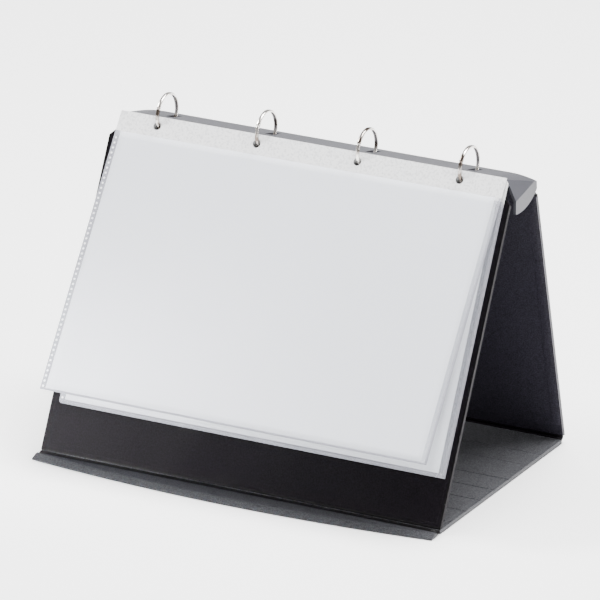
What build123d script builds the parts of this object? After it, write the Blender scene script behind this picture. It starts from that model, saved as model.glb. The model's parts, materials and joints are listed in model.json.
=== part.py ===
from build123d import *
import math
import os

# Tabletop flip-chart easel: a four-ring display binder for landscape A4 pockets.
# Millimetres. X runs across the easel, Y from the front to the back, Z up.
# Modelled with Y = 0 at the front board's foot, then shifted so that the origin
# is the centre of the footprint, on the table.

# ---- driving dimensions -------------------------------------------------
WIDTH = 318.0               # boards and cap
RING_PITCH = 80.0           # standard four-hole pitch
RING_COUNT = 4
PAGE_COUNT = 6

FILM = 0.5                  # cover film on each side of a board
CORE = 2.0                  # greyboard inside a board
RIM = 3.0                   # welded film rim round a core
BOARD = 2 * FILM + CORE     # finished board
CORNER = 2.0                # small outer corner radius

FRONT_LEAN = 63.4           # front board above the horizontal, degrees
BACK_LEAN = 76.1            # back board above the horizontal, degrees
FRONT_LENGTH = 242.5
FRONT_CHAMFER = 13.0
FOOT_Z = 3.3                # level cut along the foot of the front board
BACK_CREASE_Y = 195.2       # rear crease, also the depth of the base
BACK_CREASE_Z = BOARD / 2
APEX_DISTANCE = 209.0       # rear crease to apex crease, along the back board
FLAP_CREASE_Y = -2.9
FLAP_REACH = 23.5           # front edge of the flap, at its middle
FLAP_END_REACH = 13.0        # front edge of the flap, at its ends
FLAP_RIM = 7.0              # sloping rim in front of the flap's core
BEAD_RADIUS = 1.0           # folded film bead in the flap and apex creases
REAR_BEAD_RADIUS = 0.6      # the rear fold is tighter: base and back board close face to face
CREASE_GAP = 2.5            # board edge to crease axis
BACK_GAP = 2.8              # the same at the rear crease, and at the apex on the cap's side
APEX_GAP = 1.6              # top of the back board to the apex crease

GROOVE_Y = [16.5, 39.0, 61.5, 83.0, 105.0]
GROOVE_WIDTH = 1.8
GROOVE_DEPTH = 0.3
RIDGE_Y = [135.5, 158.0, 188.0]
RIDGE_WIDTH = 1.2
RIDGE_DEPTH = 0.12

RING_Y = 117.3              # ring centre
RING_Z = 226.2
RING_RADIUS = 14.2          # to the middle of the wire
WIRE_WIDTH = 2.6            # across the easel
WIRE_THICKNESS = 1.8        # in the ring's own plane
RING_JOINT = 165.0          # where the halves meet, degrees in the mechanism's frame
JOINT_GAP = 0.6             # degrees left open on each side of that joint
FRONT_FOOT_ANGLE = 262.0
REAR_FOOT_ANGLE = 278.0

CAP_TILT = 14.0             # cap top falls towards the back, degrees
CAP_TOP = -2.8              # cap top below the ring centre
CAP_WALL = 2.0
CAP_REAR_Y = 145.2
CAP_SKIRT_Y = 113.0
CAP_SKIRT_Z = 198.5
CAP_BELLY = (132.1, 199.7)  # lowest stretch of the end wall's curved edge
CAP_END_FRONT = (159.0, 112.5, 207.9)
CAP_END_REAR = (159.0, 142.6, 214.5)
CAP_END_TOP = (149.9, 109.0, 226.0)
CAP_ROUND_START = 138.0     # the cap's top curves down from here to its ends
CAP_ROUND_DROP = 3.0
SLOT_WIDTH = 6.0            # clear ways for the ring legs through the cap
SLOT_FRONT = 4.0
SLOT_REAR = 18.0
LIP_NOTCH = 3.4

BLADE_WIDTH = 5.2
BLADE_GAP = 0.8             # between the two blades
BLADE_THICKNESS = 1.0
BLADE_LENGTH = 264.0
BLADE_DEPTH = -14.7         # blade middle below the ring centre
HOUSING_HALF = 6.8
HOUSING_FLOOR = -17.0       # underside of the housing below the ring centre
HOUSING_LIP = -14.6         # top of its side flanges
HOUSING_THICKNESS = 0.6
HOUSING_LENGTH = 276.0
POST_X = 135.5
POST_RADIUS = 1.6
RECESS_HALF = 140.0         # recess for the mechanism in the front board's top edge
RECESS_U = 233.0

POCKET_WIDTH = 306.0
POCKET_SHIFT = 1.8          # pocket's middle to the right of the rings' middle
POCKET_HEIGHT = 209.4       # punched edge included
POCKET_THICKNESS = 0.5
EDGE_HEIGHT = 10.6          # stiff punched edge above the flexing line
EDGE_THICKNESS = 0.54
HOLE_FROM_TOP = 7.0
HOLE_RADIUS = 3.2
HANG = 1.4                  # a hole's centre hangs this far below the wire
SHEET_WIDTH = 297.0         # long side of A4
SHEET_HEIGHT = 192.6
SHEET_THICKNESS = 0.14
SHEET_PLAY = 0.03           # air round the sheet inside its pocket
SHEET_LEFT = 4.2            # sheet to the pocket's left edge
SHEET_BOTTOM = 1.6
FIRST_PAGE_OFFSET = 0.6     # rearmost page's middle off the front board
PAGE_PITCH = 0.62
FIRST_PAGE_SWING = 8.5      # the front page hangs this far off the stack, degrees
EDGE_GAP = 0.6              # flexing gap between a turned page's edge and pocket

# ---- worked out ----------------------------------------------------------
ALPHA = math.radians(FRONT_LEAN)
BETA = math.radians(BACK_LEAN)
REAR_EXTREME = BACK_CREASE_Y - BACK_GAP * math.cos(BETA) + BOARD / 2 * math.sin(BETA)
FRAME_SHIFT = -(REAR_EXTREME - FLAP_REACH) / 2
TILT = math.radians(CAP_TILT)
RING_X = [(i - (RING_COUNT - 1) / 2) * RING_PITCH for i in range(RING_COUNT)]
HALF = WIDTH / 2
FRONT_PLANE = Plane(
    origin=(0, 0, FOOT_Z),
    x_dir=(1, 0, 0),
    z_dir=(0, -math.sin(ALPHA), math.cos(ALPHA)),
)
BACK_PLANE = Plane(
    origin=(0, BACK_CREASE_Y, BACK_CREASE_Z),
    x_dir=(1, 0, 0),
    z_dir=(0, -math.sin(BETA), -math.cos(BETA)),
)
# Mechanism frame: local x runs along the cap top to the back, local y is its normal,
# and local z runs across the easel.
MECH_PLANE = Plane(
    origin=(0, RING_Y, RING_Z),
    x_dir=(0, math.cos(TILT), -math.sin(TILT)),
    z_dir=(1, 0, 0),
)
APEX_Y = BACK_CREASE_Y - APEX_DISTANCE * math.cos(BETA)
APEX_Z = BACK_CREASE_Z + APEX_DISTANCE * math.sin(BETA)


# ---- helpers -------------------------------------------------------------
def save(name, shape):
    """Writes one sub-part, moved to the footprint's centre."""
    moved = Pos(0, FRAME_SHIFT, 0) * shape
    export_step(moved, f"parts/{name}.step")


def face_of(points, radius=0.0):
    """A flat face from its corner points, with every corner rounded if a radius is given."""
    face = Polygon(*points, align=None)
    if radius > 0:
        face = fillet(face.vertices(), radius)
    return face


def plate(points, low, high, radius=0.0):
    """A flat plate over the outline, from height low to height high."""
    return Pos(0, 0, low) * extrude(face_of(points, radius), high - low)


def block(x0, x1, y0, y1, z0, z1):
    """A box between two corners."""
    middle = Pos((x0 + x1) / 2, (y0 + y1) / 2, (z0 + z1) / 2)
    return middle * Box(x1 - x0, y1 - y0, z1 - z0)


def bar_along_x(y, z, radius, half_length):
    """A round bar lying across the easel."""
    return Pos(0, y, z) * Rot(0, 90, 0) * Cylinder(radius, 2 * half_length)


def rectangle(inset, u0, u1):
    """Corner points of a board outline without chamfers."""
    x = HALF - inset
    return [(-x, u0 + inset), (x, u0 + inset), (x, u1 - inset), (-x, u1 - inset)]


def front_outline(inset):
    """Front board: chamfered top corners, and a foot that is cut level later."""
    foot = inset - BOARD if inset == 0 else inset
    x = HALF - inset
    top = FRONT_LENGTH - inset
    cut = FRONT_CHAMFER - inset * (2 - math.sqrt(2))
    return [
        (-x, foot),
        (x, foot),
        (x, top - cut),
        (x - cut, top),
        (-x + cut, top),
        (-x, top - cut),
    ]


def sandwich(outline, plane):
    """Core, upper film and lower film of one board, with its middle on the plane."""
    half = BOARD / 2
    core = plate(outline(RIM), -half + FILM, half - FILM)
    lower = plate(outline(0), -half, -half + FILM, CORNER)
    upper = plate(outline(0), -half + FILM, half, CORNER) - core
    return [plane.location * piece for piece in (core, upper, lower)]


# ---- base and flap -------------------------------------------------------
def make_base():
    y0 = FLAP_CREASE_Y + CREASE_GAP
    y1 = BACK_CREASE_Y - BACK_GAP
    middle = Plane.XY.offset(BOARD / 2)
    core, upper, lower = sandwich(lambda inset: rectangle(inset, y0, y1), middle)
    for y in GROOVE_Y:
        upper -= block(-HALF, HALF, y - GROOVE_WIDTH / 2, y + GROOVE_WIDTH / 2,
                       BOARD - GROOVE_DEPTH, BOARD + 1)
    for y in RIDGE_Y:
        upper -= block(-HALF, HALF, y - RIDGE_WIDTH / 2, y + RIDGE_WIDTH / 2,
                       BOARD - RIDGE_DEPTH, BOARD + 1)
    save("base_core", core)
    save("base_top_film", upper)
    save("base_bottom_film", lower)
    up_board = (BOARD - BACK_CREASE_Z + BOARD / 2 * math.cos(BETA)) / math.sin(BETA)
    fold_y, fold_z = back_point(up_board, BOARD / 2)
    save("rear_crease_bead", bar_along_x(fold_y, fold_z, REAR_BEAD_RADIUS, HALF - RIM))
    save("flap_crease_bead", bar_along_x(FLAP_CREASE_Y, BOARD / 2, BEAD_RADIUS, HALF - RIM))


def flap_face(reach, end_reach, half_width):
    """Flap outline: straight along the crease, bowed out at the front."""
    y = FLAP_CREASE_Y - CREASE_GAP
    left = (-half_width, -end_reach)
    right = (half_width, -end_reach)
    edges = [
        ThreePointArc(left, (0, -reach), right),
        Line(right, (half_width, y)),
        Line((half_width, y), (-half_width, y)),
        Line((-half_width, y), left),
    ]
    return make_face(edges)


def make_flap():
    bow = (FLAP_REACH - FLAP_END_REACH) / HALF**2
    core_reach = FLAP_REACH - FLAP_RIM
    core_end = -(FLAP_CREASE_Y - CREASE_GAP) + 1.0
    core_half = math.sqrt((core_reach - core_end) / bow)
    core = Pos(0, 0, FILM) * extrude(flap_face(core_reach, core_end, core_half), CORE)
    outline = flap_face(FLAP_REACH, FLAP_END_REACH, HALF)
    lower = extrude(outline, FILM)
    upper = Pos(0, 0, FILM) * extrude(outline, BOARD - FILM)
    front_edges = upper.faces().sort_by(Axis.Z)[-1].edges().sort_by(Axis.Y)[0]
    upper = chamfer(front_edges, BOARD - 2 * FILM, FLAP_RIM - 1.0)
    save("flap_core", core)
    save("flap_top_film", upper - core)
    save("flap_bottom_film", lower)


# ---- back board ----------------------------------------------------------
def make_back_board():
    u0 = BACK_GAP
    u1 = APEX_DISTANCE - APEX_GAP
    core, inner, outer = sandwich(lambda inset: rectangle(inset, u0, u1), BACK_PLANE)
    save("back_board_core", core)
    save("back_board_inner_film", inner)
    save("back_board_outer_film", outer)
    save("apex_crease_bead", bar_along_x(APEX_Y, APEX_Z, BEAD_RADIUS, HALF - RIM))


# ---- front board ---------------------------------------------------------
def make_front_board():
    middle = FRONT_PLANE.offset(-BOARD / 2)
    pieces = sandwich(front_outline, middle)
    names = ["front_board_core", "front_board_face_film", "front_board_rear_film"]
    recess = block(-RECESS_HALF, RECESS_HALF, RECESS_U, FRONT_LENGTH + 5, -2 * BOARD, BOARD)
    under_foot = block(-HALF - 1, HALF + 1, -10, 20, -10, FOOT_Z)
    for name, piece in zip(names, pieces):
        piece -= FRONT_PLANE.location * recess
        save(name, piece - under_foot)


# ---- cap -----------------------------------------------------------------
def mech_point(a, b):
    """(y, z) of a point in the mechanism's frame."""
    y = RING_Y + a * math.cos(TILT) + b * math.sin(TILT)
    z = RING_Z - a * math.sin(TILT) + b * math.cos(TILT)
    return (y, z)


def front_point(u, w):
    """(y, z) of a point u up the front board and w in front of its face."""
    y = u * math.cos(ALPHA) - w * math.sin(ALPHA)
    z = FOOT_Z + u * math.sin(ALPHA) + w * math.cos(ALPHA)
    return (y, z)


def back_point(u, w):
    """(y, z) of a point u up the back board and w inside its middle plane."""
    y = BACK_CREASE_Y - u * math.cos(BETA) - w * math.sin(BETA)
    z = BACK_CREASE_Z + u * math.sin(BETA) - w * math.cos(BETA)
    return (y, z)


def across(points_or_face, half_length):
    """Extrudes a (y, z) outline both ways across the easel."""
    face = points_or_face
    if isinstance(face, list):
        face = face_of(face)
    return extrude(Plane.YZ.location * face, half_length, both=True)


def cap_top_z(y, drop=0.0):
    """Height of the cap's top plane, or of the plane drop below it."""
    y0, z0 = mech_point(0, CAP_TOP - drop)
    return z0 - (y - y0) * math.tan(TILT)


def cap_top_front(drop=0.0, behind=0.0):
    """Where a plane below the cap top meets a plane behind the front board's face."""
    y0, z0 = mech_point(0, CAP_TOP - drop)
    y1, z1 = front_point(0, -behind)
    slope = math.tan(ALPHA)
    fall = math.tan(TILT)
    y = (z0 - z1 + y0 * fall + y1 * slope) / (slope + fall)
    return (y, z0 - (y - y0) * fall)


def end_planes(inset):
    """Half spaces beyond the cap's two sloping ends, as large blocks to cut with."""
    front = Vector(*CAP_END_FRONT)
    rear = Vector(*CAP_END_REAR)
    top = Vector(*CAP_END_TOP)
    normal = (rear - front).cross(top - front).normalized()
    cuts = []
    for side in (1, -1):
        origin = front - normal * inset
        plane = Plane(
            origin=(side * origin.X, origin.Y, origin.Z),
            z_dir=(side * normal.X, normal.Y, normal.Z),
        )
        cuts.append(plane.location * (Pos(0, 0, 50) * Box(300, 300, 100)))
    return cuts


def end_rounds(drop):
    """Space above the cap's top where it curves down to its ends, or a surface drop below that."""
    run = HALF - CAP_ROUND_START
    radius = (run**2 + CAP_ROUND_DROP**2) / (2 * CAP_ROUND_DROP)
    top = CAP_TOP - drop
    cuts = []
    for side in (1, -1):
        start = side * CAP_ROUND_START
        end = side * (HALF + 1)
        above = mech_block(min(start, end), max(start, end), -60, 80, top - 20, top + 20)
        roller = Rot(0, 90, 0) * Cylinder(radius, 140)
        cuts.append(above - MECH_PLANE.location * Pos(10, top - radius, start) * roller)
    return cuts


def make_cap():
    rear_low = back_point(APEX_DISTANCE + BACK_GAP, -BOARD / 2)
    rear_top = (CAP_REAR_Y, cap_top_z(CAP_REAR_Y))
    skirt = (CAP_SKIRT_Y, CAP_SKIRT_Z)
    outline = [
        front_point(FRONT_LENGTH, 0),
        cap_top_front(),
        rear_top,
        rear_low,
    ]
    closing = [
        skirt,
        (CAP_SKIRT_Y, front_point(FRONT_LENGTH, -BOARD)[1]),
        front_point(FRONT_LENGTH, -BOARD),
        outline[0],
    ]
    edges = [Line(a, b) for a, b in zip(outline, outline[1:])]
    edges.append(ThreePointArc(rear_low, CAP_BELLY, skirt))
    edges += [Line(a, b) for a, b in zip(closing, closing[1:])]
    outer = across(make_face(edges), HALF)
    for cut in end_planes(0) + end_rounds(0):
        outer -= cut
    wall_low = back_point(APEX_DISTANCE - 20, -BOARD / 2 + CAP_WALL)
    wall_top_y = CAP_REAR_Y - CAP_WALL
    rail = cap_top_front(CAP_WALL, BOARD)
    hollow = across([
        rail,
        (wall_top_y, cap_top_z(wall_top_y, CAP_WALL)),
        back_point(APEX_DISTANCE + 2 * BACK_GAP, -BOARD / 2 + CAP_WALL),
        wall_low,
        (CAP_SKIRT_Y - 30, CAP_SKIRT_Z - 30),
        front_point(FRONT_LENGTH - 12, -BOARD),
        front_point(FRONT_LENGTH, -BOARD),
    ], HALF - CAP_WALL)
    for cut in end_planes(CAP_WALL) + end_rounds(CAP_WALL):
        hollow -= cut
    cap = outer - hollow
    for x in RING_X:
        cap -= mech_block(x - SLOT_WIDTH / 2, x + SLOT_WIDTH / 2,
                          SLOT_FRONT, SLOT_REAR, CAP_TOP - 2 * CAP_WALL, CAP_TOP + CAP_WALL)
        cap -= FRONT_PLANE.location * block(
            x - SLOT_WIDTH / 2, x + SLOT_WIDTH / 2,
            FRONT_LENGTH - 1, FRONT_LENGTH + LIP_NOTCH, -2 * BOARD, 1)
    save("spine_cap", cap)


# ---- ring mechanism ------------------------------------------------------
def mech_block(x0, x1, a0, a1, b0, b1):
    """A box in the mechanism's frame: x across, a along the cap top, b its normal."""
    return MECH_PLANE.location * block(a0, a1, b0, b1, x0, x1)


def half_rings(start, end, blade):
    """Four flat-wire arcs between two angles, trimmed where they meet their blade."""
    wire = Pos(RING_RADIUS, 0, 0) * RectangleRounded(WIRE_THICKNESS, WIRE_WIDTH, 0.6)
    section = Plane.XZ.location * wire
    arc = revolve(section, Axis.Z, end - start)
    rings = []
    for x in RING_X:
        placed = MECH_PLANE.location * Pos(0, 0, x) * Rot(0, 0, start) * arc
        rings.append(placed - blade)
    return Compound(children=[ring.solid() for ring in rings])


def make_mechanism():
    half_thick = BLADE_THICKNESS / 2
    low = BLADE_DEPTH - half_thick
    high = BLADE_DEPTH + half_thick
    inner = BLADE_GAP / 2
    outer = inner + BLADE_WIDTH
    length = BLADE_LENGTH / 2
    front_blade = mech_block(-length, length, -outer, -inner, low, high)
    rear_blade = mech_block(-length, length, inner, outer, low, high)
    save("front_blade", front_blade)
    save("rear_blade", rear_blade)
    save("front_ring_halves",
         half_rings(RING_JOINT + JOINT_GAP, FRONT_FOOT_ANGLE, front_blade))
    save("rear_ring_halves",
         half_rings(REAR_FOOT_ANGLE - 360, RING_JOINT - JOINT_GAP, rear_blade))
    length = HOUSING_LENGTH / 2
    wall = HOUSING_THICKNESS
    housing = mech_block(-length, length, -HOUSING_HALF, HOUSING_HALF,
                         HOUSING_FLOOR, HOUSING_LIP)
    housing -= mech_block(-length - 1, length + 1, -HOUSING_HALF + wall, HOUSING_HALF - wall,
                          HOUSING_FLOOR + wall, HOUSING_LIP + 1)
    save("ring_housing", housing)
    bottom = HOUSING_FLOOR + wall
    top = CAP_TOP - CAP_WALL
    posts = []
    for x in (-POST_X, POST_X):
        post = Rot(-90, 0, 0) * Cylinder(POST_RADIUS, top - bottom)
        posts.append(MECH_PLANE.location * Pos(0, (top + bottom) / 2, x) * post)
    save("housing_posts", Compound(children=[post.solid() for post in posts]))


# ---- pages ---------------------------------------------------------------
def ring_centre_on_board():
    """Ring centre in the front board's frame: (u up the board, w in front of its face)."""
    dy = RING_Y
    dz = RING_Z - FOOT_Z
    u = dy * math.cos(ALPHA) + dz * math.sin(ALPHA)
    w = -dy * math.sin(ALPHA) + dz * math.cos(ALPHA)
    return (u, w)


def page_pieces(offset, flex_gap):
    """Punched edge, pocket and paper of one page lying parallel to the front board."""
    centre_u, centre_w = ring_centre_on_board()
    wire_u = centre_u - math.sqrt(RING_RADIUS**2 - (offset - centre_w) ** 2)
    hole_u = wire_u - HANG
    top = hole_u + HOLE_FROM_TOP
    low = top - POCKET_HEIGHT
    crease = top - EDGE_HEIGHT
    x0 = POCKET_SHIFT - POCKET_WIDTH / 2
    x1 = POCKET_SHIFT + POCKET_WIDTH / 2
    half = EDGE_THICKNESS / 2
    edge = block(x0, x1, crease, top, offset - half, offset + half)
    for ring_x in RING_X:
        edge -= Pos(ring_x, hole_u, offset) * Cylinder(HOLE_RADIUS, 2 * EDGE_THICKNESS)
    half = POCKET_THICKNESS / 2
    pocket = block(x0, x1, low, crease - flex_gap, offset - half, offset + half)
    sheet_x = x0 + SHEET_LEFT
    sheet_u = low + SHEET_BOTTOM
    half = SHEET_THICKNESS / 2
    sheet = block(sheet_x, sheet_x + SHEET_WIDTH, sheet_u, sheet_u + SHEET_HEIGHT,
                  offset - half, offset + half)
    half += SHEET_PLAY
    pocket -= block(sheet_x - SHEET_PLAY, sheet_x + SHEET_WIDTH + SHEET_PLAY,
                    sheet_u - SHEET_PLAY, crease + 1, offset - half, offset + half)
    return [FRONT_PLANE.location * piece for piece in (edge, pocket, sheet)]


def make_pages():
    ring_axis = Axis((0, RING_Y, RING_Z), (1, 0, 0))
    for number in range(1, PAGE_COUNT + 1):
        first = number == 1
        offset = FIRST_PAGE_OFFSET + PAGE_PITCH * (PAGE_COUNT - number)
        pieces = page_pieces(offset, EDGE_GAP if first else 0.0)
        for kind, piece in zip(("edge", "pocket", "sheet"), pieces):
            if first:
                piece = piece.rotate(ring_axis, -FIRST_PAGE_SWING)
            save(f"page_{number}_{kind}", piece)


os.makedirs("parts", exist_ok=True)
make_base()
make_flap()
make_back_board()
make_front_board()
make_cap()
make_mechanism()
make_pages()
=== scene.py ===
"""Looks for the tabletop flip-chart easel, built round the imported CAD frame.

Metres, in the row frame: X across the easel, Y from the page side to the back, Z up.
"""

import json
import math

import bmesh
import bpy
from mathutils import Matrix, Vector


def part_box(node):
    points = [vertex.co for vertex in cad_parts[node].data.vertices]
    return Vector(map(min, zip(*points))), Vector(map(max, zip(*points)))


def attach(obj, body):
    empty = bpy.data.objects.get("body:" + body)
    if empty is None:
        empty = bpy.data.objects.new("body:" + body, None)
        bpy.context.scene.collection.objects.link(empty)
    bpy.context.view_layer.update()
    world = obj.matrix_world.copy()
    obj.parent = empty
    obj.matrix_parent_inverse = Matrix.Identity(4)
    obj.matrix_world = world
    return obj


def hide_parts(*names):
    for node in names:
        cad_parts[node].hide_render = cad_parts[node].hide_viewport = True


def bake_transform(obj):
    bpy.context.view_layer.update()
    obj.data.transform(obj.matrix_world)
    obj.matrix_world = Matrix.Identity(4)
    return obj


MM = 0.001

# Angles in degrees. The leans are above the horizontal, seen along +X.
FRONT_LEAN = 63.4
BACK_LEAN = 180.0 - 76.1
PAGE_SWING = 8.5              # the front page hangs this far off the stack
CAP_TILT = 14.0

# Pressed lines on the boards: inset from the edge, width, height.
RIM_LINE = (0.8 * MM, 1.5 * MM, 0.10 * MM)
WELD_LINE = (3.6 * MM, 0.9 * MM, 0.12 * MM)
ROLL_LINE = (4.5 * MM, 8.0 * MM, 0.45 * MM)
LINE_PROFILE = ((-0.5, -0.3), (-0.38, 0.5), (-0.2, 0.9), (0.0, 1.0), (0.2, 0.9), (0.38, 0.5), (0.5, -0.3))
ROLL_START = 9.0 * MM         # the back board's roll starts this far above its crease
CHAMFER = 13.0 * MM
RECESS_DEPTH = 9.5 * MM       # the ring mechanism's recess in the front board's top edge
FOOT_CUT = 1.8 * MM           # the front board's rear face starts higher: its foot is cut level
FILM_EDGE = 0.35 * MM         # softened edge of a board's film

# Creases: reach from the fold to each board, and half the film's thickness at its fold and ends.
FLAP_CREASE = 2.5 * MM
REAR_CREASE = 2.8 * MM
APEX_CREASE = 2.6 * MM
CREASE_THIN = 0.45
CREASE_SWELL = 0.95

# Rings, with angles in the tilted cap's frame.
RING_PITCH = 80 * MM
RING_COUNT = 4
WIRE_WIDTH = 2.6 * MM
WIRE_THICKNESS = 1.8 * MM
RING_JOINT = 165.0
JOINT_GAP = 0.4
FRONT_FOOT_ANGLE = 262.0
REAR_FOOT_ANGLE = -82.0
KNOB_SPAN = 9.0               # the grip swells over this much of a ring half
KNOB_SWELL = 0.16
KNOB_ROUND = 0.8              # and rounds off over this much, at its tip

# Pages.
PAGE_COUNT = 6
STRIP_HEIGHT = 17.0 * MM
STRIP_THICKNESS = 0.34 * MM
STRIP_FLEX = 10.3 * MM        # the strip is finely cut from here down, where the front page bends
HOLE_FROM_TOP = 7.0 * MM
HOLE_RADIUS = 3.0 * MM
FILM_UNDER_STRIP = 2.0 * MM
FILM_THICKNESS = 0.12 * MM
FILM_OFFSET = 0.17 * MM       # each film's middle off the page's middle
PAPER_THICKNESS = 0.13 * MM
FRONT_PAGE_BOW = 1.1 * MM
PAGE_BOW = 0.05 * MM
SEAM_THICKNESS = 0.4 * MM
SEAM_WIDTH = 4.0 * MM
RIGHT_SEAM = 1.6 * MM
FOOT_SEAM = 1.4 * MM
DOT_PITCH = 3.8 * MM
DOT_MARGIN = 3.2 * MM         # the top dot stays this far below the film's top, clear of the strip
DOT_SIDES = 10
DOT_RINGS = ((0.85, 0.0), (0.6, 0.10), (0.3, 0.12))     # radius and rise in mm

FLOOR_SIZE = 6.0
FLOOR_STEPS = 24
FLOOR_DROP = -0.0004


# ---- small geometry helpers ------------------------------------------------
class Slab:
    """The space of CAD nodes in a leaning plane: x across, u up the lean, w off the plane."""

    def __init__(self, nodes, lean):
        self.cos = math.cos(math.radians(lean))
        self.sin = math.sin(math.radians(lean))
        points = [v.co for n in nodes for v in frame["nodes"][n].data.vertices]
        us = [p.y * self.cos + p.z * self.sin for p in points]
        ws = [p.z * self.cos - p.y * self.sin for p in points]
        self.x0, self.x1 = min(p.x for p in points), max(p.x for p in points)
        self.u0, self.u1 = min(us), max(us)
        self.w0, self.w1 = min(ws), max(ws)

    def at(self, x, u, w):
        return Vector((x, u * self.cos - w * self.sin, u * self.sin + w * self.cos))


def mesh_object(name, points, faces, material, smooth=True):
    mesh = bpy.data.meshes.new(name)
    mesh.from_pydata([tuple(p) for p in points], [], faces)
    obj = bpy.data.objects.new(name, mesh)
    bpy.context.scene.collection.objects.link(obj)
    clean = bmesh.new()
    clean.from_mesh(mesh)
    bmesh.ops.recalc_face_normals(clean, faces=clean.faces)
    clean.to_mesh(mesh)
    clean.free()
    for face in mesh.polygons:
        face.use_smooth = smooth
    mesh.materials.append(material)
    return obj


def bevel(obj, width, segments=2):
    modifier = obj.modifiers.new("edge", "BEVEL")
    modifier.width = width
    modifier.segments = segments
    modifier.limit_method = "ANGLE"
    modifier.harden_normals = False


def sweep(rows, capped=True):
    """Points and faces of a tube through rows of points; each row is one closed section."""
    count = len(rows[0])
    points = [p for row in rows for p in row]
    faces = []
    for i in range(len(rows) - 1):
        for k in range(count):
            m = (k + 1) % count
            faces.append((i * count + k, i * count + m, (i + 1) * count + m, (i + 1) * count + k))
    if capped:
        faces.append(tuple(range(count)))
        faces.append(tuple(range((len(rows) - 1) * count, len(rows) * count)))
    return points, faces


def offset_loop(loop, distance):
    """A closed outline moved inwards, with mitred corners. The outline runs anticlockwise."""
    moved = []
    for i, here in enumerate(loop):
        before = Vector(loop[i - 1])
        after = Vector(loop[(i + 1) % len(loop)])
        here = Vector(here)
        a = (here - before).normalized()
        b = (after - here).normalized()
        inward_a, inward_b = Vector((-a.y, a.x)), Vector((-b.y, b.x))
        both = inward_a + inward_b
        moved.append(tuple(here + both * (distance / (1 + inward_a.dot(inward_b)))))
    return moved


def rectangle(slab):
    return [(slab.x0, slab.u0), (slab.x1, slab.u0), (slab.x1, slab.u1), (slab.x0, slab.u1)]


def raised_line(name, slab, outline, w, side, body, material, line):
    """A low rounded line that follows a board's outline on one of its faces."""
    inset, width, height = line
    rows = []
    for step, rise in LINE_PROFILE:
        loop = offset_loop(outline, inset + step * width)
        rows.append([slab.at(x, u, w + side * rise * height) for x, u in loop])
    obj = mesh_object(name, *sweep(rows, capped=False), material)
    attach(obj, body)


def board_lines(name, slab, outline, w, side, body, material):
    """The dark welded rim at a board's edge, and the pressed line where the films leave its core."""
    raised_line(f"{name}_rim", slab, outline, w, side, body, rim_film, RIM_LINE)
    raised_line(f"{name}_weld", slab, outline, w, side, body, material, WELD_LINE)


# ---- materials ---------------------------------------------------------------
def principled(name, colour, roughness, **sockets):
    material = bpy.data.materials.new(name)
    material.use_nodes = True
    shader = material.node_tree.nodes["Principled BSDF"]
    shader.inputs["Base Color"].default_value = (*colour, 1.0)
    shader.inputs["Roughness"].default_value = roughness
    for socket, value in sockets.items():
        shader.inputs[socket.replace("_", " ")].default_value = value
    return material


def noise(material, scale, detail=3.0, stretch=(1.0, 1.0, 1.0)):
    """A noise texture in the piece's own coordinates; scale is in patches per metre."""
    tree = material.node_tree
    where = tree.nodes.new("ShaderNodeTexCoord")
    mapping = tree.nodes.new("ShaderNodeMapping")
    mapping.inputs["Scale"].default_value = stretch
    texture = tree.nodes.new("ShaderNodeTexNoise")
    texture.inputs["Scale"].default_value = scale
    texture.inputs["Detail"].default_value = detail
    tree.links.new(where.outputs["Object"], mapping.inputs["Vector"])
    tree.links.new(mapping.outputs["Vector"], texture.inputs["Vector"])
    return texture.outputs["Fac"]


def ramp(material, value, stops):
    node = material.node_tree.nodes.new("ShaderNodeValToRGB")
    elements = node.color_ramp.elements
    while len(elements) < len(stops):
        elements.new(0.5)
    for element, (place, colour) in zip(elements, stops):
        element.position = place
        element.color = (*colour, 1.0)
    material.node_tree.links.new(value, node.inputs["Fac"])
    return node.outputs["Color"]


def feed(material, value, socket):
    shader = material.node_tree.nodes["Principled BSDF"]
    material.node_tree.links.new(value, shader.inputs[socket])


def add_bump(material, value, strength, distance):
    tree = material.node_tree
    shader = tree.nodes["Principled BSDF"]
    node = tree.nodes.new("ShaderNodeBump")
    node.inputs["Strength"].default_value = strength
    node.inputs["Distance"].default_value = distance
    tree.links.new(value, node.inputs["Height"])
    if shader.inputs["Normal"].is_linked:
        tree.links.new(shader.inputs["Normal"].links[0].from_socket, node.inputs["Normal"])
    tree.links.new(node.outputs["Normal"], shader.inputs["Normal"])


def grey(level):
    return (level, level, level)


def cover_film(name, dark, light, roughness, grain, specular):
    """Calendered cover film: fine leather grain and a slow cloudy sheen."""
    material = principled(name, dark, roughness, Specular_IOR_Level=specular)
    fine = noise(material, 1100.0, 2.0)
    cloud = noise(material, 14.0, 4.0)
    speck = ramp(material, fine, [(0.30, dark), (0.72, light)])
    feed(material, speck, "Base Color")
    rough = ramp(material, cloud, [(0.3, grey(roughness - 0.07)), (0.7, grey(roughness + 0.08))])
    feed(material, rough, "Roughness")
    add_bump(material, fine, grain, 0.25 * MM)
    return material


def make_greyboard():
    material = principled("greyboard", (0.30, 0.28, 0.25), 0.9)
    fibre = noise(material, 900.0)
    tint = ramp(material, fibre, [(0.3, (0.22, 0.20, 0.18)), (0.7, (0.36, 0.34, 0.31))])
    feed(material, tint, "Base Color")
    add_bump(material, noise(material, 700.0), 0.3, 0.2 * MM)
    return material


def make_cap_plastic():
    material = principled("cap_plastic", (0.2, 0.2, 0.22), 0.42, Specular_IOR_Level=0.5)
    fine = noise(material, 2200.0, 2.0)
    cloud = noise(material, 22.0, 3.0)
    tint = ramp(material, cloud, [(0.3, (0.041, 0.041, 0.049)), (0.7, (0.049, 0.049, 0.058))])
    feed(material, tint, "Base Color")
    feed(material, ramp(material, fine, [(0.3, grey(0.36)), (0.7, grey(0.5))]), "Roughness")
    add_bump(material, fine, 0.12, 0.1 * MM)
    return material


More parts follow.
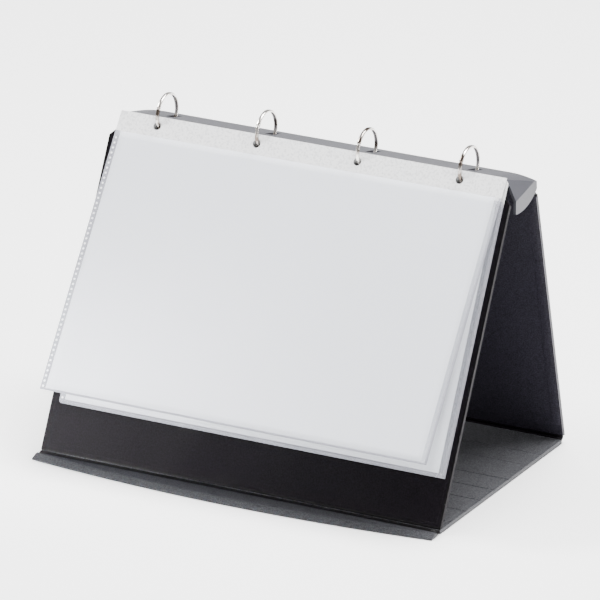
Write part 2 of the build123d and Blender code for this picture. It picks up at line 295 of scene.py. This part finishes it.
def make_nickel():
    material = principled("nickel", (0.78, 0.74, 0.70), 0.14, Metallic=1.0)
    streak = noise(material, 600.0, 3.0, (6.0, 1.0, 1.0))
    feed(material, ramp(material, streak, [(0.3, grey(0.10)), (0.75, grey(0.27))]), "Roughness")
    # Painted reflection: the base colour swings between dark and bright patches about 11 mm across, standing in
    # for reflections in the rings.
    painted_reflection_patch = noise(material, 90.0)
    tint = ramp(material, painted_reflection_patch, [(0.42, (0.16, 0.13, 0.11)), (0.56, (0.84, 0.80, 0.76))])
    feed(material, tint, "Base Color")
    add_bump(material, streak, 0.08, 0.05 * MM)
    return material


def make_edge_strip():
    """White strip film embossed with a fine speckle."""
    material = principled("edge_strip", (0.74, 0.74, 0.75), 0.5)
    emboss = noise(material, 620.0, 2.0)
    tint = ramp(material, emboss, [(0.36, (0.60, 0.60, 0.61)), (0.52, (0.76, 0.76, 0.765))])
    feed(material, tint, "Base Color")
    add_bump(material, emboss, 0.5, 0.25 * MM)
    return material


def make_clear_film(name, alpha, colour):
    material = principled(name, colour, 0.22, Alpha=alpha, Specular_IOR_Level=0.5)
    ripple = noise(material, 38.0, 2.0, (1.0, 0.6, 0.6))
    add_bump(material, ripple, 0.12, 0.6 * MM)
    feed(material, ramp(material, noise(material, 16.0), [(0.3, grey(0.15)), (0.7, grey(0.32))]), "Roughness")
    return material


def make_paper():
    material = principled("paper", (0.78, 0.80, 0.83), 0.85, Specular_IOR_Level=0.3)
    mottle = noise(material, 520.0, 4.0)
    tint = ramp(material, mottle, [(0.3, (0.765, 0.785, 0.815)), (0.7, (0.79, 0.81, 0.84))])
    feed(material, tint, "Base Color")
    add_bump(material, noise(material, 1400.0, 3.0), 0.12, 0.05 * MM)
    return material


# ---- boards ------------------------------------------------------------------
def dress_cad():
    """Gives every CAD node that stays in view its finish, and softens its edges."""
    finishes = {"greyboard": greyboard, "black_film": black_film, "grey_film": grey_film,
                "cap_plastic": cap_plastic, "nickel": nickel, "edge_strip": edge_strip,
                "clear_film": clear_film, "paper": paper}
    # The flap gets a darker copy of the grey film as painted shade, and the back board's inner face a lighter,
    # bluish copy of the black film as painted light.
    own_finishes = {"flap_top_film": painted_shade_flap_film, "flap_bottom_film": painted_shade_flap_film,
                    "back_board_inner_film": painted_light_inner_film}
    widths = {"spine_cap": 0.7 * MM, "ring_housing": 0.15 * MM,
              "front_blade": 0.25 * MM, "rear_blade": 0.25 * MM}
    for part in frame["record"]["subparts"]:
        obj = frame["nodes"][part["node"]]
        obj.data.materials.clear()
        obj.data.materials.append(own_finishes.get(part["node"], finishes[part["material_slot"]]))
        if part["node"].endswith("_film"):
            bevel(obj, FILM_EDGE)
        elif part["node"] in widths:
            bevel(obj, widths[part["node"]], 3)


def add_weld_lines():
    base = Slab(["base_top_film"], 0.0)
    raised_line("base_weld", base, rectangle(base), base.w1, 1, "base", grey_film, WELD_LINE)
    back = Slab(["back_board_inner_film", "back_board_outer_film"], BACK_LEAN)
    outline = rectangle(back)
    board_lines("back_outer", back, outline, back.w0, -1, "back_panel", black_film)
    above_crease = [(x, max(u, back.u0 + ROLL_START)) for x, u in outline]
    raised_line("back_inner_roll", back, above_crease, back.w1, 1, "back_panel", painted_light_inner_film, ROLL_LINE)
    front = Slab(["front_board_face_film", "front_board_rear_film"], FRONT_LEAN)
    top = front.u1 - RECESS_DEPTH
    side = CHAMFER - RECESS_DEPTH
    outline = [(front.x0, front.u0), (front.x1, front.u0), (front.x1, top - side),
               (front.x1 - side, top), (front.x0 + side, top), (front.x0, top - side)]
    board_lines("front_face", front, outline, front.w1, 1, "front_panel", black_film)
    above_foot = [(x, max(u, front.u0 + FOOT_CUT)) for x, u in outline]
    board_lines("front_rear", front, above_foot, front.w0, -1, "front_panel", black_film)


def crease(name, bead, toward_a, toward_b, gap, material):
    """The double film that joins two boards, thin at its fold and as thick as a board at its ends."""
    low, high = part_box(bead)
    x0, x1 = (corner[0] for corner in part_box("base_top_film"))
    pivot = Vector((0, (low[1] + high[1]) / 2, (low[2] + high[2]) / 2))
    a = Vector((0, *toward_a)).normalized()
    b = Vector((0, *toward_b)).normalized()
    start, end = pivot + a * gap, pivot + b * gap
    steps = 24
    upper, lower = [], []
    for i in range(steps + 1):
        t = i / steps
        here = start * (1 - t) ** 2 + pivot * 2 * t * (1 - t) + end * t ** 2
        along = ((pivot - start) * (1 - t) + (end - pivot) * t).normalized()
        normal = Vector((0, -along.z, along.y))
        half = (CREASE_THIN + CREASE_SWELL * abs(2 * t - 1) ** 3) * MM
        upper.append(here + normal * half)
        lower.append(here - normal * half)
    section = upper + lower[::-1]
    across = 40
    rows = []
    for i in range(across + 1):
        shift = Vector((x0 + (x1 - x0) * i / across, 0, 0))
        rows.append([p + shift for p in section])
    obj = mesh_object(name, *sweep(rows), material)
    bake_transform(obj)
    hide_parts(bead)


def add_creases():
    up_back = (math.cos(math.radians(BACK_LEAN)), math.sin(math.radians(BACK_LEAN)))
    down_front = (-math.cos(math.radians(FRONT_LEAN)), -math.sin(math.radians(FRONT_LEAN)))
    # The crease between base and flap takes the near-black rim film: painted shade along the front board's foot.
    crease("flap_crease", "flap_crease_bead", (1, 0), (-1, 0), FLAP_CREASE, rim_film)
    crease("rear_crease", "rear_crease_bead", (-1, 0), up_back, REAR_CREASE, black_film)
    crease("apex_crease", "apex_crease_bead",
           (-up_back[0], -up_back[1]), (-0.97, 0.24), APEX_CREASE, black_film)


# ---- rings -------------------------------------------------------------------
def ring_half(name, node, body, start, end, tip_at_start):
    """Four flat-wire half rings, each ending in a small rounded grip where the halves meet."""
    centre = Vector(joint_place("page_1_turn"))
    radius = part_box("rear_ring_halves")[1][2] - centre.z - WIRE_THICKNESS / 2
    tilt = math.radians(-CAP_TILT)
    steps, around = 72, 16
    points, faces = [], []
    for x in ring_places:
        rows = []
        for i in range(steps + 1):
            t = i / steps
            angle = start + (end - start) * t
            from_tip = abs(angle - (start if tip_at_start else end))
            swell = 1.0 + KNOB_SWELL * max(0.0, 1 - from_tip / KNOB_SPAN) ** 0.5
            if from_tip < KNOB_ROUND:
                swell *= 0.80 + 0.25 * from_tip
            turned = math.radians(angle) + tilt
            out = Vector((0, math.cos(turned), math.sin(turned)))
            row = []
            for k in range(around):
                phi = 2 * math.pi * k / around
                c, s = math.cos(phi), math.sin(phi)
                side = math.copysign(abs(c) ** 0.6, c) * WIRE_WIDTH / 2 * swell
                rise = math.copysign(abs(s) ** 0.7, s) * WIRE_THICKNESS / 2 * swell
                row.append(centre + out * (radius + rise) + Vector((x + side, 0, 0)))
            rows.append(row)
        more, more_faces = sweep(rows)
        faces += [tuple(i + len(points) for i in face) for face in more_faces]
        points += more
    obj = mesh_object(name, points, faces, nickel)
    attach(obj, body)
    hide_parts(node)


def joint_place(name):
    return next(j for j in frame["joints"] if j["name"] == name)["pos_m"]


# ---- pages -------------------------------------------------------------------
def sheet_mesh(slab, x0, x1, u0, u1, w, thickness, bow, nx=48, nu=40):
    """A thin closed sheet; bow(x, u) moves its middle off the plane."""
    points = []
    for side in (0.5, -0.5):
        for i in range(nu + 1):
            for k in range(nx + 1):
                x = x0 + (x1 - x0) * k / nx
                u = u0 + (u1 - u0) * i / nu
                points.append(slab.at(x, u, w + side * thickness + bow(x, u)))
    row, layer = nx + 1, (nx + 1) * (nu + 1)
    faces = []
    for i in range(nu):
        for k in range(nx):
            a = i * row + k
            faces.append((a, a + 1, a + row + 1, a + row))
            faces.append((layer + a, layer + a + row, layer + a + row + 1, layer + a + 1))
    rim = list(range(nx + 1)) + [i * row + nx for i in range(1, nu + 1)]
    rim += [nu * row + k for k in range(nx - 1, -1, -1)] + [i * row for i in range(nu - 1, 0, -1)]
    for here, there in zip(rim, rim[1:] + rim[:1]):
        faces.append((here, there, there + layer, here + layer))
    return points, faces


def in_fixed_order(points, faces):
    """The same mesh with its faces sorted by place: the order that bmesh gives varies between runs."""
    turned = []
    for face in faces:
        first = min(range(len(face)), key=lambda k: tuple(points[face[k]]))
        turned.append(face[first:] + face[:first])
    turned.sort(key=lambda face: [tuple(points[i]) for i in face])
    order = list(dict.fromkeys(i for face in turned for i in face))
    place = {old: new for new, old in enumerate(order)}
    return [points[i] for i in order], [tuple(place[i] for i in face) for face in turned]


def strip_mesh(slab, x0, x1, top, w, thickness, holes):
    """The white punched strip: a plate with round holes above its flexing line, finely cut below it."""
    flat = bmesh.new()
    low = top - STRIP_FLEX
    corners = [(x0, low), (x1, low), (x1, top), (x0, top)]
    loops = [corners]
    for x in holes:
        hole = []
        for a in range(32):
            turn = a * math.pi / 16
            hole.append((x + HOLE_RADIUS * math.cos(turn),
                         top - HOLE_FROM_TOP + HOLE_RADIUS * math.sin(turn)))
        loops.append(hole)
    edges = []
    for loop in loops:
        verts = [flat.verts.new((x, u, 0)) for x, u in loop]
        edges += [flat.edges.new((verts[i - 1], verts[i])) for i in range(len(verts))]
    bmesh.ops.triangle_fill(flat, use_beauty=True, edges=edges)
    count = 12
    rows = []
    for i in range(count + 1):
        u = low - (STRIP_HEIGHT - STRIP_FLEX) * i / count
        rows.append([flat.verts.new((x, u, 0)) for x in (x0, x1)])
    for above, below in zip(rows, rows[1:]):
        flat.faces.new((above[0], below[0], below[1], above[1]))
    bmesh.ops.recalc_face_normals(flat, faces=flat.faces)
    bmesh.ops.solidify(flat, geom=flat.faces[:], thickness=thickness)
    flat.verts.ensure_lookup_table()
    points = [slab.at(v.co.x, v.co.y, w + v.co.z) for v in flat.verts]
    flat.verts.index_update()
    faces = [tuple(v.index for v in f.verts) for f in flat.faces]
    flat.free()
    return in_fixed_order(points, faces)


def add_page(number):
    edge, pocket, sheet = (f"page_{number}_{kind}" for kind in ("edge", "pocket", "sheet"))
    first = number == 1
    lean = FRONT_LEAN - (PAGE_SWING if first else 0.0)
    slab = Slab([edge, pocket], lean)
    paper_slab = Slab([sheet], lean)
    middle = (slab.w0 + slab.w1) / 2
    top = slab.u1
    body = "page_1_hang" if first else f"page_{number}"
    lift = FRONT_PAGE_BOW if first else PAGE_BOW

    def bow(x, u):
        """Nothing at the strip, most near the loose lower corners."""
        s = (x - slab.x0) / (slab.x1 - slab.x0)
        t = (u - slab.u0) / (top - slab.u0)
        wave = 0.5 * math.cos(2 * math.pi * (s - 0.1)) + 0.3 * math.sin(5 * s + 3 * t) * (1 - t)
        return lift * (1 - t) ** 2 * wave

    strip = mesh_object(f"page_{number}_strip_cover",
                        *strip_mesh(slab, slab.x0, slab.x1, top, middle, STRIP_THICKNESS, ring_places),
                        edge_strip, smooth=False)
    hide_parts(edge)
    if first:
        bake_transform(strip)
    else:
        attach(strip, body)
    film_top = top - STRIP_HEIGHT + FILM_UNDER_STRIP
    for side, label in ((1, "front"), (-1, "rear")):
        film = mesh_object(f"page_{number}_film_{label}",
                           *sheet_mesh(slab, slab.x0, slab.x1, slab.u0, film_top,
                                       middle + side * FILM_OFFSET, FILM_THICKNESS, bow),
                           clear_film)
        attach(film, body)
        if side == 1:
            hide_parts(pocket)
    cover = mesh_object(f"page_{number}_paper",
                        *sheet_mesh(slab, paper_slab.x0, paper_slab.x1, paper_slab.u0,
                                    min(paper_slab.u1, film_top), middle, PAPER_THICKNESS, bow), paper)
    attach(cover, body)
    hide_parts(sheet)
    add_seams(number, slab, middle, film_top, body, bow)


def add_seams(number, slab, middle, film_top, body, bow):
    """Welded seams down the sides and along the foot of the pocket, with the row of pressed dots."""
    left = mesh_object(f"page_{number}_left_seam",
                       *sheet_mesh(slab, slab.x0, slab.x0 + SEAM_WIDTH, slab.u0, film_top, middle,
                                   SEAM_THICKNESS, bow, 4, 40), seam_film)
    right = mesh_object(f"page_{number}_right_seam",
                        *sheet_mesh(slab, slab.x1 - RIGHT_SEAM, slab.x1, slab.u0, film_top, middle,
                                    SEAM_THICKNESS, bow, 4, 40), seam_film)
    foot = mesh_object(f"page_{number}_foot_seam",
                       *sheet_mesh(slab, slab.x0, slab.x1, slab.u0, slab.u0 + FOOT_SEAM, middle,
                                   SEAM_THICKNESS, bow, 48, 2), seam_film)
    points, faces = [], []
    count = int((film_top - DOT_MARGIN - slab.u0) / DOT_PITCH)
    for i in range(count):
        u = slab.u0 + (i + 0.7) * DOT_PITCH
        x = slab.x0 + SEAM_WIDTH * 0.5
        w = middle + SEAM_THICKNESS / 2 + bow(x, u)
        start = len(points)
        for radius, rise in DOT_RINGS:
            for k in range(DOT_SIDES):
                a = 2 * math.pi * k / DOT_SIDES
                points.append(slab.at(x + radius * MM * math.cos(a),
                                      u + radius * MM * math.sin(a), w + rise * MM))
        for ring in range(len(DOT_RINGS) - 1):
            low = start + ring * DOT_SIDES
            high = low + DOT_SIDES
            for k in range(DOT_SIDES):
                m = (k + 1) % DOT_SIDES
                faces.append((low + k, low + m, high + m, high + k))
        top_ring = start + (len(DOT_RINGS) - 1) * DOT_SIDES
        faces.append(tuple(top_ring + k for k in range(DOT_SIDES)))
    dots = mesh_object(f"page_{number}_seam_dots", points, faces, dot_film)
    for piece in (left, right, foot, dots):
        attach(piece, body)


# ---- studio ------------------------------------------------------------------
def add_floor():
    places = [i * FLOOR_SIZE / FLOOR_STEPS - FLOOR_SIZE / 2 for i in range(FLOOR_STEPS + 1)]
    points = [(x, y, FLOOR_DROP) for y in places for x in places]
    row = FLOOR_STEPS + 1
    corners = [y * row + x for y in range(FLOOR_STEPS) for x in range(FLOOR_STEPS)]
    faces = [(a, a + 1, a + row + 1, a + row) for a in corners]
    material = principled("floor", (0.93, 0.93, 0.93), 0.8,
                          Emission_Color=(1.0, 1.0, 1.0, 1.0), Emission_Strength=0.5)
    mesh_object("floor", points, faces, material)


def add_light(name, place, target, size, power, spread=180.0):
    data = bpy.data.lights.new(name, "AREA")
    data.spread = math.radians(spread)
    data.shape = "RECTANGLE"
    data.size, data.size_y = size
    data.energy = power
    obj = bpy.data.objects.new(name, data)
    obj.location = place
    obj.rotation_euler = (Vector(target) - Vector(place)).to_track_quat("-Z", "Y").to_euler()
    bpy.context.scene.collection.objects.link(obj)


def add_camera():
    data = bpy.data.cameras.new("camera")
    data.lens = 434.5
    data.sensor_width = 36.0
    data.clip_end = 50.0
    obj = bpy.data.objects.new("camera", data)
    obj.location = (2.2456, -4.2114, 1.9176)
    target = Vector((0.0033, 0.0003, 0.1165))
    obj.rotation_euler = (target - obj.location).to_track_quat("-Z", "Y").to_euler()
    bpy.context.scene.collection.objects.link(obj)
    bpy.context.scene.camera = obj


def add_studio():
    add_floor()
    world = bpy.data.worlds.new("studio")
    world.use_nodes = True
    background = world.node_tree.nodes["Background"]
    background.inputs["Color"].default_value = (1, 1, 1, 1)
    background.inputs["Strength"].default_value = 0.5
    bpy.context.scene.world = world
    add_light("key", (-2.4, -0.7, 1.9), (0, 0, 0.1), (0.8, 0.8), 130)
    add_light("top", (0.3, 0.5, 2.4), (0, 0, 0.0), (1.6, 1.6), 225)
    add_light("side", (1.9, -0.2, 0.5), (0.1, 0.0, 0.12), (0.7, 0.6), 30)
    add_light("low", (-0.95, -0.80, 0.22), (-0.14, -0.085, 0.03), (0.12, 0.12), 0.34, 14.0)
    add_camera()


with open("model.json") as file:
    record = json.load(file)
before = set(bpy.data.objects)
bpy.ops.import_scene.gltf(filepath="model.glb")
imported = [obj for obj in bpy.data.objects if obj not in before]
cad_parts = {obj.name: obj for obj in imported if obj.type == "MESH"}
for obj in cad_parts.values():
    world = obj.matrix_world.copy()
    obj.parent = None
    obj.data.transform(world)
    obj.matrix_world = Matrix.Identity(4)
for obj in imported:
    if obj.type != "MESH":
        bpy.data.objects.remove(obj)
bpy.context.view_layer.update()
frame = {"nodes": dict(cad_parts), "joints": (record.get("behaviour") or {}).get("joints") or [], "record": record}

black_film = cover_film("black_film", (0.0028, 0.0022, 0.003), (0.0085, 0.0070, 0.0095), 0.38, 0.5, 0.05)
grey_film = cover_film("grey_film", (0.018, 0.018, 0.021), (0.094, 0.095, 0.102), 0.50, 0.7, 0.25)
# A darker copy of the grey film, for the flap only: painted shade.
painted_shade_flap_film = cover_film("painted_shade_flap_film", (0.009, 0.009, 0.011), (0.055, 0.056, 0.062), 0.50, 0.7, 0.20)
# A lighter, bluish copy of the black film, for the back board's inner face: painted light.
painted_light_inner_film = cover_film("painted_light_inner_film", (0.006, 0.0055, 0.009), (0.034, 0.031, 0.044), 0.40, 0.7, 0.30)
rim_film = cover_film("rim_film", (0.002, 0.002, 0.002), (0.004, 0.003, 0.004), 0.45, 0.2, 0.1)
greyboard = make_greyboard()
cap_plastic = make_cap_plastic()
nickel = make_nickel()
edge_strip = make_edge_strip()
clear_film = make_clear_film("clear_film", 0.14, (0.72, 0.74, 0.82))
seam_film = make_clear_film("seam_film", 0.78, (0.30, 0.30, 0.34))
dot_film = make_clear_film("dot_film", 0.95, (0.85, 0.85, 0.87))
paper = make_paper()

ring_places = [RING_PITCH * (i - (RING_COUNT - 1) / 2) for i in range(RING_COUNT)]

dress_cad()
add_weld_lines()
add_creases()
ring_half("front_ring_wires", "front_ring_halves", "front_ring_set",
          RING_JOINT + JOINT_GAP, FRONT_FOOT_ANGLE, True)
ring_half("rear_ring_wires", "rear_ring_halves", "rear_ring_set",
          REAR_FOOT_ANGLE, RING_JOINT - JOINT_GAP, False)
for page in range(1, PAGE_COUNT + 1):
    add_page(page)
add_studio()
